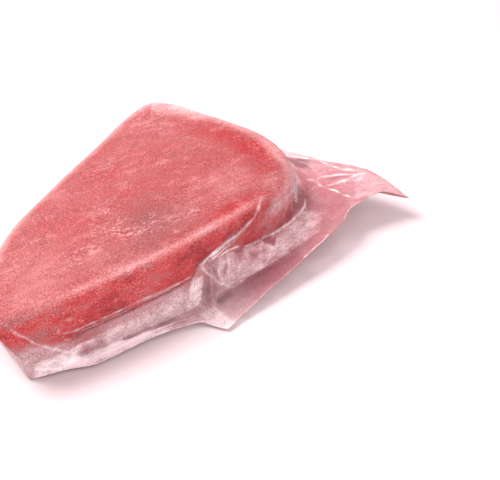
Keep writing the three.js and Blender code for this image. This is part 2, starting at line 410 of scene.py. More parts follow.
@dataclass
class SkirtForm:
    """The pouch's skirt round the steak: wide sections in front and at the flap, a narrow strip elsewhere."""

    steak: SteakForm
    wide: Sequence[Section] = WIDE_SECTIONS
    narrow_leave: float = 10.0
    narrow_under: float = 5.0
    narrow_reach: Triple = (2.8, 5.6, 8.2)
    narrow_height: Triple = (8.6, 7.6, 7.0)
    narrow_blush: float = 0.3
    blend_length: float = 0.035

    @cached_property
    def start(self) -> float:
        """Fraction of the outline's length where the wide stretch starts."""
        return self.steak.outline.nearest(self.wide[0].wall) - 1.0

    @cached_property
    def end(self) -> float:
        """Fraction of the outline's length where the wide stretch ends."""
        return self.steak.outline.nearest(self.wide[-1].wall)

    @cached_property
    def rows(self) -> list[tuple[float, tuple[float, ...]]]:
        """The wide sections in the order of the outline.

        Returns:
            For each section the fraction of the outline's length, and its numbers.
        """
        rows = []
        for section in self.wide:
            u = self.steak.outline.nearest(section.wall)
            rows.append((u if u <= self.end else u - 1.0, section.numbers()))
        return rows

    @cached_property
    def slopes(self) -> list[list[float]]:
        """Slope of each number at each wide section, kept from overshooting.

        Returns:
            A row of slopes for each section.
        """
        rises = []
        for (u, before), (v, after) in zip(self.rows, self.rows[1:]):
            rises.append([(b - a) / (v - u) for a, b in zip(before, after)])
        slopes = [rises[0]]
        for low, high in zip(rises, rises[1:]):
            slopes.append([0.0 if a * b <= 0 else 2 * a * b / (a + b) for a, b in zip(low, high)])
        slopes.append(rises[-1])
        return slopes

    def narrow(self, u: float) -> Cut:
        """The narrow strip.

        Args:
            u: Fraction of the outline's length.

        Returns:
            The strip's cut there.
        """
        at = self.steak.meridian(u)
        corners = [
            self.steak.wall(at, height) + at.normal.to_3d() * reach
            for reach, height in zip(self.narrow_reach, self.narrow_height)
        ]
        return Cut(u, self.narrow_leave, *corners, self.narrow_under, BACK_VEIL, self.narrow_blush)

    def at(self, u: float) -> Cut:
        """The skirt, read off between its sections.

        Args:
            u: Fraction of the outline's length, from the start of the wide stretch to one round past it.

        Returns:
            The skirt's cut there.
        """
        if u > self.end:
            return self.narrow_blend(u)
        keys = [row[0] for row in self.rows]
        i = min(max(bisect_right(keys, u) - 1, 0), len(keys) - 2)
        step = keys[i + 1] - keys[i]
        t = (u - keys[i]) / step
        numbers = []
        for k, (a, b) in enumerate(zip(self.rows[i][1], self.rows[i + 1][1])):
            leaving, coming = self.slopes[i][k] * step, self.slopes[i + 1][k] * step
            value = (2 * t ** 3 - 3 * t ** 2 + 1) * a + (t ** 3 - 2 * t ** 2 + t) * leaving
            numbers.append(value + (3 * t ** 2 - 2 * t ** 3) * b + (t ** 3 - t ** 2) * coming)
        return self.cut(u, numbers)

    @staticmethod
    def cut(u: float, numbers: Sequence[float]) -> Cut:
        """A cut made from a row of numbers."""
        inner, outer, edge = (Vector(numbers[k : k + 3]) for k in (1, 4, 7))
        return Cut(u, numbers[0], inner, outer, edge, numbers[10], tuple(numbers[11:14]), numbers[14])

    def narrow_blend(self, u: float) -> Cut:
        """The narrow strip, eased into the wide sections at its two ends.

        Args:
            u: Fraction of the outline's length.

        Returns:
            The blended cut there.
        """
        strip = self.narrow(u)
        again = self.start + 1
        to_end = ease(u, self.end, self.end + self.blend_length)
        to_start = 1 - ease(u, again - self.blend_length, again)
        if to_end < 1:
            return self.between(self.cut(u, self.rows[-1][1]), strip, to_end, self.end)
        if to_start < 1:
            return self.between(self.cut(u, self.rows[0][1]), strip, to_start, again)
        return strip

    def between(self, wide: Cut, strip: Cut, t: float, home: float) -> Cut:
        """Mixes a wide cut, slid along the wall, with the narrow strip.

        Args:
            wide: The last wide cut.
            strip: The strip's cut, which says where the mixed one stands.
            t: How far to go from the wide cut to the strip.
            home: Where the wide cut really stands.

        Returns:
            The mixed cut.
        """
        slide = (self.steak.outline.at(strip.u) - self.steak.outline.at(home)).to_3d()
        pairs = ((wide.inner, strip.inner), (wide.outer, strip.outer), (wide.edge, strip.edge))
        corners = [(a + slide).lerp(b, t) for a, b in pairs]
        leave, under = mix(wide.leave, strip.leave, t), mix(wide.under, strip.under, t)
        veil = tuple(mix(a, b, t) for a, b in zip(wide.veil, strip.veil))
        return Cut(strip.u, leave, *corners, under, veil, mix(wide.blush, strip.blush, t))


# -------------------------------------------------------------------------------------------------------
# Marks on the steak and folds in the film
# -------------------------------------------------------------------------------------------------------


@dataclass(frozen=True)
class Spot:
    """A soft patch of the flesh: where it is, how far it reaches along and across the steak, how strong."""

    place: Point
    reach: Pair
    amount: float
    depth: float = 9.0

    def share(self, point: Vector) -> float:
        """How strongly the patch colours a point."""
        ratios = [away / reach for away, reach in zip(point - Vector(self.place), (*self.reach, self.depth))]
        return self.amount * math.exp(-sum(ratio ** 2 for ratio in ratios))


RICH_SPOTS = (
    Spot((98, 64, 26), (7, 10), 0.8),
    Spot((103, 50, 26), (6, 10), 0.9),
    Spot((106, 35, 26), (6, 9), 1.0),
    Spot((101, 22, 26), (7, 7), 0.8),
    Spot((80, 9.5, 26), (15, 3), 0.9),
    Spot((56, 8, 26), (16, 3), 0.4),
    Spot((30, 38, 26), (17, 7), 0.35),
    Spot((64, 55, 26), (18, 8), 0.35),
    Spot((84, 24, 26), (14, 8), -0.9),
    Spot((9, 14, 26), (18, 9), -0.3),
    Spot((-6, 13, 26), (10, 9), -0.6),
    Spot((88, 80, 26), (13, 11), -0.3),
    Spot((11, 0, 13), (12, 8), 1.0),
    Spot((54, 1, 18), (12, 8), 1.3),
    Spot((76, 3, 18), (12, 8), 0.6),
    Spot((104, 14, 22), (10, 7), -0.9),
    Spot((97, 8, 13), (9, 5), 0.3),
    Spot((22, 0, 12), (5, 6), 0.6),
    Spot((34, 0, 20), (7, 6), -1.2),
    Spot((44, 0, 21), (4, 6), -0.6),
    Spot((-9, 1, 19), (10, 8), -1.1),
)

DULL_SPOTS = (
    Spot((50, 20, 26), (13, 12), 1.0),
    Spot((34, 10, 26), (14, 6), 0.4),
    Spot((103, 14, 21), (7, 6), 0.5),
)

FROST_SPOTS = (
    Spot((56, 58, 26), (9, 5), 0.4),
    Spot((38, 36, 26), (8, 4), 0.6),
    Spot((31, 24, 26), (7, 4), 0.7),
    Spot((45, 18, 26), (8, 3), 1.0),
    Spot((37, 20, 26), (4, 6), 0.8),
    Spot((22, 19, 26), (5, 3), 0.8),
    Spot((15, 14, 26), (4, 3), 0.7),
    Spot((62, 15, 26), (5, 3), 0.6),
    Spot((78, 28, 26), (5, 4), 0.4),
    Spot((2, 1, 13), (5, 5), 0.8),
    Spot((24, 1, 20), (10, 4), 0.35),
    Spot((90, 70, 26), (10, 10), 0.35),
)


@dataclass(frozen=True)
class Crease:
    """A fold, taut line or line of shade in the film, with its painted highlight or painted shade.

    Width is its half width, lift how far it stands up from the film, and tone how strongly a painted
    highlight whitens the film, or below 0 how strongly a painted shade darkens it.
    """

    route: Sequence[Point]
    width: float = 0.5
    lift: float = 0.3
    tone: float = 0.6


@dataclass(frozen=True)
class Facet:
    """A flat patch of the film between creases, with its own tone: a painted highlight, or below 0 painted
    shade.

    Its border is as soft as the given distance, and it reaches the given depth to both sides of its plane.
    """

    corners: Sequence[Point]
    tone: float
    soft: float = 0.7
    depth: float = 3.5

    @cached_property
    def centre(self) -> Vector:
        """Middle of the corners."""
        return sum((Vector(corner) for corner in self.corners), Vector()) / len(self.corners)

    @cached_property
    def axes(self) -> tuple[Vector, Vector, Vector]:
        """Directions by which the facet is measured.

        Returns:
            Two directions in the facet's plane, and the one across it.
        """
        across = plane_normal(*(Vector(corner) for corner in self.corners))
        first = (Vector(self.corners[0]) - self.centre).cross(across).normalized()
        return first, across.cross(first), across

    @cached_property
    def flat(self) -> list[Pair]:
        """The corners in the facet's plane."""
        away = [Vector(corner) - self.centre for corner in self.corners]
        return [(corner.dot(self.axes[0]), corner.dot(self.axes[1])) for corner in away]

    @cached_property
    def reach(self) -> float:
        """How far from its centre the facet can still be felt."""
        return max(math.hypot(x, y) for x, y in self.flat) + self.soft

    def share(self, point: Vector) -> float:
        """How far a point of the film lies within the facet.

        Args:
            point: The point.

        Returns:
            0 outside it, 1 well inside, and a number between them near its border.
        """
        away = point - self.centre
        first, second, across = self.axes
        if away.length > self.reach or abs(away.dot(across)) > self.depth:
            return 0.0
        x, y = away.dot(first), away.dot(second)
        inside = False
        border = self.reach
        for (ax, ay), (bx, by) in zip(self.flat, self.flat[1:] + self.flat[:1]):
            if (ay > y) != (by > y) and x < ax + (bx - ax) * (y - ay) / (by - ay):
                inside = not inside
            dx, dy = bx - ax, by - ay
            t = clamp(((x - ax) * dx + (y - ay) * dy) / (dx * dx + dy * dy))
            border = min(border, math.hypot(x - ax - t * dx, y - ay - t * dy))
        return ease(border if inside else -border, -self.soft, self.soft)


FRONT_CREASES = (
    # Line round the left corner, from the top edge down to the floor, painted as a highlight.
    Crease(((-18.5, 3, 25), (-14, 0.6, 19.5), (-8, 0.4, 12.5), (-1.5, 0.2, 7), (5, -0.2, 2)),
           0.5, 0.3, 0.8),
    # Two painted highlight lines where the film leaves the front wall, and the painted shade under them.
    Crease(((-1, -0.2, 13.5), (6, -0.5, 13), (25, -0.5, 13), (41.5, 0.1, 12.4), (51.5, 0.7, 12.2)),
           0.5, 0.25, 0.95),
    Crease(((4, -0.3, 11.8), (13, -0.6, 11.5), (29, -0.2, 11.6), (43.5, 0.3, 11.5)), 0.4, 0.25, 0.85),
    Crease(((2, -0.2, 10.6), (25, -0.3, 10.9), (33, -0.2, 11), (41.5, 0.1, 10.6), (50, 0.6, 11)),
           0.5, -0.2, -1.2),
    # Painted shade where the film meets the floor.
    Crease(((20, -1.5, 1.4), (27, -2.3, 1.4), (33, -2.8, 1.5), (38.8, -3.1, 1.6), (42, -3.6, 1.6)),
           0.7, -0.3, -0.9),
    # Streaks of the hem, and its free edge, painted as highlights.
    Crease(((-6, -1, 1.3), (4, -2.6, 1.4), (14, -3.6, 1.4), (24, -4, 1.5)), 0.4, 0.2, 0.5),
    Crease(((20, -3.2, 1.6), (30, -4.6, 1.7), (40, -5.6, 1.9), (48, -7.4, 1.9)), 0.4, 0.25, 0.6),
    Crease(((34, -6.4, 1.8), (42, -8, 1.9), (49, -9.4, 1.8)), 0.35, 0.2, 0.55),
    Crease(((-13.5, 1.3, 1.2), (-1, -3.3, 1.2), (8.5, -6.7, 1.2), (24, -6.8, 1.5), (36, -8, 1.8),
            (46, -10.6, 2), (52, -18.2, 1.2), (58, -16.8, 2)), 0.6, 0.1, 0.6),
)

CORNER_CREASES = (
    # Taut band from the corner fold up to the steak's shoulder, and the lines beside it,
    # painted as highlights.
    Crease(((45, -2, 2), (46, -1.7, 4), (48.5, -0.4, 8), (51, 0.6, 12), (53, 0.7, 14.8), (56, 0.9, 16.8),
            (59.5, 1.2, 17.5), (64, 1.7, 18.3), (69.5, 2.5, 18.5)), 0.8, 0.3, 0.2),
    Crease(((53, 0.7, 14.8), (58, 1.1, 16.8), (63, 1.7, 18), (70.8, 2.7, 19), (75, 3.5, 20.2),
            (79, 4.5, 21.4), (83, 5.8, 23.8), (86, 7.6, 25.6), (88, 9, 26)), 0.7, 0.4, 0.8),
    Crease(((57, 1, 15), (62, 1.6, 16), (68, 2.3, 16.9), (75, 3.4, 18.8), (79, 4.4, 20.4)), 0.5, 0.3, 0.5),
    # Small folds below the corner fold, painted with highlights and with shade.
    Crease(((54, 0.8, 16), (57, -0.4, 10.7), (61.5, -1.1, 5.5), (65, -2.2, 2.5)), 0.5, 0.4, 0.75),
    Crease(((59, 0.2, 14.5), (60.8, -0.9, 8)), 0.7, -0.3, -0.9),
    Crease(((65.7, 1, 11.5), (64, -0.5, 6.8)), 0.75, -0.3, -0.9),
    Crease(((61, 0.6, 12), (62.8, -0.6, 6)), 0.4, 0.3, 0.6),
    Crease(((67, 1.4, 13), (66.6, 0.2, 8), (65.4, -1.6, 3.6)), 0.4, 0.3, 0.6),
    Crease(((70.5, 2.2, 13), (71.5, 1, 8), (70, -0.6, 4.2)), 0.35, 0.2, 0.45),
)

FLAP_CREASES = (
    # Inner fold, painted as a highlight.
    Crease(((62, 0.9, 15), (66.5, 1.8, 15), (71, 2.6, 14.7), (74.5, 3.2, 12.8)), 0.45, 0.35, 1.0),
    Crease(((74.5, 3.2, 12.8), (79, 4, 11.5), (85, 5.2, 10.4), (89.5, 6, 9.8)), 0.45, 0.3, 0.8),
    Crease(((86, 5.4, 10.3), (97, 7.6, 9.2), (106.5, 10.6, 9), (112, 13.4, 9.3), (116, 17.8, 9.8)),
           0.4, 0.35, 1.0),
    # Outer fold, painted as a highlight.
    Crease(((64, -2.2, 2.5), (66.5, -2.9, 2.5), (72.7, -1.2, 2.8), (80.3, -0.9, 3.4), (91, -1, 5),
            (98, -0.7, 6.5)), 0.6, 0.2, 0.4),
    # Creases that run out from one point, painted as highlights.
    Crease(((125, 21.5, 11.6), (126.7, 22.3, 12), (132.6, 18.8, 13), (137.4, 14.6, 13.2), (142, 12, 13.7)),
           0.45, 0.35, 0.7),
    Crease(((124.5, 16.6, 11.6), (131.2, 15.9, 11.9), (134.3, 14.3, 12.5), (137.3, 13.9, 13),
            (142, 12, 13.7)), 0.5, 0.4, 0.8),
    Crease(((126, 24, 12), (132, 22.5, 13), (137, 19, 13.5), (142.5, 13.6, 13.9)), 0.4, 0.25, 0.5),
    Crease(((133.5, 13.6, 12), (137, 11.6, 12.3), (140.6, 11.9, 13.3)), 0.4, 0.25, 0.6),
    Crease(((124.3, 15.2, 11.6), (125.8, 11.6, 11.7), (126, 8.8, 11.5), (127.4, 6.5, 11.6),
            (128, 3.4, 11.5)), 0.4, 0.35, 1.0),
    Crease(((122, 25.5, 11.8), (122.7, 24.9, 11.7), (125, 22.4, 11.6)), 0.6, 0.3, 1.0),
    Crease(((125.3, 21.3, 11.6), (123.8, 18.4, 11.6), (124.3, 15.5, 11.6)), 0.5, 0.3, 0.8),
    Crease(((101, -3.7, 7.7), (100, -7.3, 8.3)), 0.35, 0.2, 0.6),
    # Free front edge, painted as a highlight.
    Crease(((58, -16.8, 2), (70, -14.3, 4), (85, -11.2, 6), (97, -8.8, 8), (109.7, -5.3, 9.4)),
           0.5, 0.1, 0.5),
    Crease(((115.8, -3.9, 10), (125.9, 0.7, 11), (137.7, -0.1, 12.5), (143.3, -2.5, 10.6),
            (148, -5.5, 8.5)), 0.5, 0.1, 0.5),
    # Free back edge and the streaks from the flap's root, painted as highlights.
    Crease(((127, 46, 10.8), (129.1, 41.5, 11.3), (131.5, 38.2, 11.6), (133.9, 34.9, 11.8)), 0.9, 0.3, 1.0),
    Crease(((131.5, 38.2, 11.6), (135, 32.6, 12), (134.4, 24.8, 13.2), (136, 19, 13.6), (142, 12.4, 13.8)),
           0.5, 0.25, 0.75),
    Crease(((132.6, 43, 10.8), (136, 32, 12), (139.5, 21, 13), (143, 12.6, 14)), 0.4, 0.1, 0.4),
    Crease(((121, 52, 10.8), (123, 44, 11.4), (124.2, 33, 12), (124.8, 24, 11.8)), 0.4, 0.3, 0.45),
    Crease(((124, 52, 10.5), (128.4, 40, 11.6), (129.4, 30, 12.2), (127.6, 23.4, 12)), 0.4, 0.25, 0.45),
    # Film that runs down from the steak's end to the flap, painted as faint highlights.
    Crease(((113, 25, 23), (113, 21, 18), (116, 18.5, 12)), 1.0, 0.2, 0.25),
    Crease(((107, 19, 24), (107, 14.5, 16), (110, 13, 11)), 1.0, 0.2, 0.25),
)

FACETS = (
    # Left corner of the hem and the band between the wall and the floor, lightened with painted highlight,
    # and a patch of the hem darkened with painted shade.
    Facet(((-11, 0.6, 2), (-1, -3.4, 2), (8, -6.8, 2), (24, -6.8, 2), (34, -8, 2), (38, -6.2, 2),
           (28, -2.8, 2), (14, -0.8, 2), (4, -0.2, 2.6), (-5, -0.2, 3)), 0.92, 1.6, 3.5),
    Facet(((8, 0, 5.5), (16, -0.2, 6.5), (30, -0.6, 7), (46, -0.3, 8), (44.5, -2, 2), (36, -2, 1.5),
           (28, -1.2, 1.3), (16, -0.2, 1.6)), 0.4, 2.6, 4.0),
    Facet(((-16, 2, 14), (-13.6, 3, 3), (-12, 1.5, 1.5), (5, -1.5, 1.5), (5, 0, 6), (0, 0.2, 10.5),
           (-5, 0.3, 12.5), (-10, 0.6, 13.5)), 0.34, 2.6, 5.0),
    Facet(((30, -3.4, 1.6), (37, -3.4, 1.5), (42, -4, 1.5), (43, -6.5, 1.8), (41, -8.7, 1.9),
           (36, -7.4, 1.8), (31, -6, 1.7)), -0.35, 0.9, 2.0),
    # Facets that stand down from the corner fold to the floor, brightened with a painted highlight.
    Facet(((51, 0.4, 11), (55, -0.2, 11), (54.3, -0.9, 7), (53, -1.8, 3.7), (51.6, -3.2, 2),
           (46, -2.3, 1.8), (47, -1.5, 4.7), (48.5, -0.6, 7.7)), 0.5, 0.7),
    Facet(((51, -0.3, 8.5), (54.1, -0.7, 8.4), (53, -1.8, 3.7), (51.8, -2.9, 2), (48.4, -2.4, 2)),
          0.14, 0.7),
    # Facets below the corner fold, darkened with painted shade.
    Facet(((55, -4.6, 4), (60, -3, 2.2), (64, -2.4, 2.4), (65, -3.6, 2.4), (62.5, -6.5, 2.4),
           (58, -7.3, 2.1)), -0.6, 1.2),
    Facet(((54, -1.2, 6), (56.5, -1.4, 8), (60, -1.3, 5.6), (59.6, -1.8, 3.4), (55.3, -2.4, 5)),
          -0.45, 0.7),
    Facet(((78, 3.4, 10.3), (82.5, 2.6, 7.6), (80, 1.4, 6.2), (78, 1.1, 6), (76.6, 2.8, 9.7)), -0.3, 1.3),
    Facet(((70.8, 2.4, 12.7), (74, 2.9, 12), (74.2, 2.2, 9.6), (72.2, 1.4, 8.3), (70, 1.6, 10)), -0.3, 1.3),
    Facet(((85.5, 4.9, 10), (92, 5.2, 8.9), (89, 3.4, 7.6)), -0.75, 0.8),
    # Corner of the hem whitened with a painted highlight, and the hem beside it darkened with painted shade.
    Facet(((49.5, -5.8, 1.6), (53, -6.5, 2), (55.7, -8.7, 1.9), (55.5, -12.8, 1.7), (56, -17, 1.5),
           (52, -18, 1.2), (46.5, -10.5, 2)), 0.45, 1.3),
    Facet(((65, -4.2, 2.5), (71, -2.4, 2.6), (77, -2, 3.1), (82, -3.2, 3.9), (94, -4, 6), (92, -9.6, 7),
           (75, -12.5, 4.5), (60, -16.4, 2.2), (57.6, -13.5, 1.9), (58, -10.3, 2), (62, -7, 2.4)),
          -0.34, 0.9),
    # Band between the inner and the outer fold, brightened with a painted highlight.
    Facet(((64, -2.2, 2.5), (66.5, -2.9, 2.5), (72.7, -1.2, 2.8), (80.3, -0.9, 3.4), (85, 5, 9.8),
           (79, 3.9, 11), (74.5, 3, 12.4), (66.5, 1.6, 14.6), (62, 0.7, 14.5), (61, 0.2, 9)),
          0.34, 0.8, 6.0),
    Facet(((80.3, -0.9, 3.4), (91, -1, 5), (98, -0.7, 6.5), (105.5, -0.6, 8.2), (109.5, 3, 9),
           (112.5, 8, 9.6), (110, 11.5, 9.2), (97, 7, 8.6), (86, 4.6, 9.3)), 0.48, 2.8, 6.0),
    # Milky film over the steak's end, whitened partly as painted light on the end's darker wall.
    Facet(((88, 7.5, 25.2), (98, 12, 26.3), (106, 19, 26.3), (112, 26, 25), (117, 30, 19), (116, 24, 14),
           (110, 16.5, 14), (102, 11, 17.5), (92, 6.8, 19.5)), 0.38, 4.0, 18.0),
    Facet(((84, 6, 23), (100, 11, 24), (112, 20, 21), (117, 28, 18), (119, 32, 15), (114, 22, 13),
           (104, 12.5, 12), (82, 5, 14)), 0.28, 6.0, 18.0),
    # Facets of the flap, darkened with painted shade or lightened with a painted highlight.
    Facet(((124, 51, 10.8), (129, 44, 11), (131.6, 35.5, 11.9), (127, 28, 12), (124.4, 36, 12)),
          -0.65, 1.4),
    Facet(((127, 21.5, 12), (137, 14.5, 13.2), (131, 16.5, 12)), -0.3, 0.6),
    Facet(((142, 12, 13.8), (137.4, 13.5, 13), (128, 3.4, 11.5), (137, 0, 12.4), (144, -2.6, 10.6),
           (150, -5, 8), (146, 4, 12)), 0.22, 0.8, 5.0),
    Facet(((125.4, 15, 11.6), (127.5, 5, 11.6), (117, 2, 10.2), (117, 10, 10.2)), -0.18, 1.5),
    # Film that bridges from the steak's end to the flap, darkened a little with painted shade.
    Facet(((116.6, 26.4, 16.5), (120, 23, 11.4), (123.6, 31, 12.2), (126, 40, 11.8), (119.8, 42.5, 14.5)),
          -0.12, 2.0, 6.0),
)

CREASES = FRONT_CREASES + CORNER_CREASES + FLAP_CREASES


@dataclass
class Folds:
    """All creases and facets of the film, laid onto its surface and read at any point."""

    creases: Sequence[Crease] = CREASES
    facets: Sequence[Facet] = FACETS
    pitch: float = 0.25
    taper: float = 2.5
    weakest_end: float = 0.15
    sway: float = 0.5
    sway_size: float = 5.0
    mean_strength: float = 0.8
    weakest_break: float = 0.3
    breaks: float = 0.5
    break_size: float = 2.4
    warp: float = 1.0
    warp_size: float = 4.0
    thinnest: float = 0.6
    spread: float = 2.2
    seed: int = 3
    marks: list[tuple[Vector, Crease, float]] = field(default_factory=list, init=False)
    tree: "kdtree.KDTree | None" = field(default=None, init=False)

    @cached_property
    def reach(self) -> float:
        """How far from its route the widest crease can still be felt."""
        return self.spread * max(crease.width for crease in self.creases)

    def lay(self, surface: BVHTree) -> None:
        """Lays every route onto the film and keeps its points for reading.

        Args:
            surface: The film's surface.
        """
        noise.seed_set(self.seed)
        for crease in self.creases:
            route = [Vector(point) for point in crease.route]
            whole = sum((b - a).length for a, b in zip(route, route[1:]))
            done = 0.0
            for a, b in zip(route, route[1:]):
                length = (b - a).length
                steps = max(1, round(length / self.pitch))
                for i in range(steps):
                    along = done + length * i / steps
                    spot = a.lerp(b, i / steps)
                    uneven = self.mean_strength + self.breaks * noise.noise(spot / self.break_size)
                    strength = clamp(min(along, whole - along) / self.taper, self.weakest_end)
                    strength *= clamp(uneven, self.weakest_break)
                    spot += noise.noise_vector(spot / self.sway_size) * self.sway
                    self.marks.append((surface.find_nearest(spot)[0], crease, strength))
                done += length
        self.tree = kdtree.KDTree(len(self.marks))
        for i, (place, _, _) in enumerate(self.marks):
            self.tree.insert(place, i)
        self.tree.balance()

    def read(self, point: Vector) -> Pair:
        """What the creases and facets do to the film at a point.

        Args:
            point: The point.

        Returns:
            The strongest lift, and the tone of the strongest painted highlight and painted shade with the
            facets below them.
        """
        lift = white = shade = 0.0
        for _, i, distance in self.tree.find_range(point, self.reach):
            _, crease, strength = self.marks[i]
            width = crease.width * mix(self.thinnest, 1.0, strength)
            if distance > self.spread * width:
                continue
            share = strength * math.exp(-((distance / width) ** 2))
            if abs(crease.lift * share) > abs(lift):
                lift = crease.lift * share
            # white is the strongest painted highlight, shade the strongest painted shade.
            white = max(white, crease.tone * share)
            shade = min(shade, crease.tone * share)
        warped = point + noise.noise_vector(point / self.warp_size) * self.warp
        patch = sum(facet.tone * facet.share(warped) for facet in self.facets)
        return lift, clamp(white + shade + patch * (1 - max(white, -shade)), -1.0, 1.0)


# -------------------------------------------------------------------------------------------------------
# Meshes
# -------------------------------------------------------------------------------------------------------

MERGE = 1e-5
# The rim mark is a painted highlight along the front top edge. The shoulder frost mark is frost with a
# painted backlit glow at the back and the end.
FLESH_MARKS = ("rich", "frost", "rim", "frost_and_backlight", "face", "dull")
FILM_MARKS = ("veil", "blush", "tone")


def bent_ball(name: str, columns: Sequence[Sequence[Vector]]) -> bmesh.types.BMesh:
    """A closed ball whose meridians take the given columns of points, from the top pole to the bottom one.

    Args:
        name: Name for the log.
        columns: One list of points for each meridian, all of one length.

    Returns:
        The ball, with the columns and rows of its vertices kept in two vertex layers.
    """
    across, down = len(columns), len(columns[0]) - 1
    ball = bmesh.new()
    bmesh.ops.create_grid(ball, x_segments=across, y_segments=down, size=0.5)
    column_layer = ball.verts.layers.int.new("column")
    row_layer = ball.verts.layers.int.new("row")
    for vertex in ball.verts:
        column = round((vertex.co.x + 0.5) * across) % across
        row = round((0.5 - vertex.co.y) * down)
        vertex[column_layer], vertex[row_layer] = column, row
        vertex.co = columns[column][row]
    bmesh.ops.remove_doubles(ball, verts=ball.verts, dist=MERGE)
    log.info("%s: %d columns of %d rows", name, across, down)
    return ball


def stood(name: str, data: bpy.types.ID) -> bpy.types.Object:
    """A new object in the scene, made of a mesh, light or camera.

    Args:
        name: Name of the object.
        data: What it is made of.

    Returns:
        The object, at the origin.
    """
    thing = bpy.data.objects.new(name, data)
    bpy.context.scene.collection.objects.link(thing)
    return thing


def finished(name: str, shape: bmesh.types.BMesh, material: bpy.types.Material) -> bpy.types.Object:
    """Makes an object of a mesh.

    Args:
        name: Name of the object.
        shape: Its mesh, which is freed.
        material: Its material.

    Returns:
        The object, at the origin.
    """
    mesh = bpy.data.meshes.new(name)
    shape.to_mesh(mesh)
    shape.free()
    mesh.materials.append(material)
    return stood(name, mesh)


def in_metres(shape: bmesh.types.BMesh, places: Sequence[Vector]) -> bmesh.types.BMesh:
    """Moves a mesh to new places, from the pack's millimetres to the frame's metres, and makes it smooth.

    Args:
        shape: The mesh.
        places: The new place of each vertex.

    Returns:
        The mesh.
    """
    for vertex, place in zip(shape.verts, places):
        vertex.co = (place + FRAME_SHIFT) * MM
    for face in shape.faces:
        face.smooth = True
    return shape


@dataclass(frozen=True)
class FrostAndBacklight:
    """Frost and painted backlit glow on the shoulder at one side of the steak: where they start, over what
    length and how strong.

    Distances count down from the rim of the top face, in shoulder heights.
    """

    start: float
    length: float
    strength: float

    def towards(self, other: "FrostAndBacklight", share: float) -> "FrostAndBacklight":
        """The frost a share of the way to that of another side."""
        return FrostAndBacklight(*(mix(a, b, share) for a, b in zip(astuple(self), astuple(other))))


# Frost with a painted backlit glow, for each side of the steak.
FRONT_FROST_AND_BACKLIGHT = FrostAndBacklight(0.35, 0.6, 1.9)
BACK_FROST_AND_BACKLIGHT = FrostAndBacklight(0.0, 0.6, 1.9)
END_FROST_AND_BACKLIGHT = FrostAndBacklight(-0.22, 0.4, 0.65)
CORNER_FROST_AND_BACKLIGHT = FrostAndBacklight(-0.75, 1.0, 1.25)


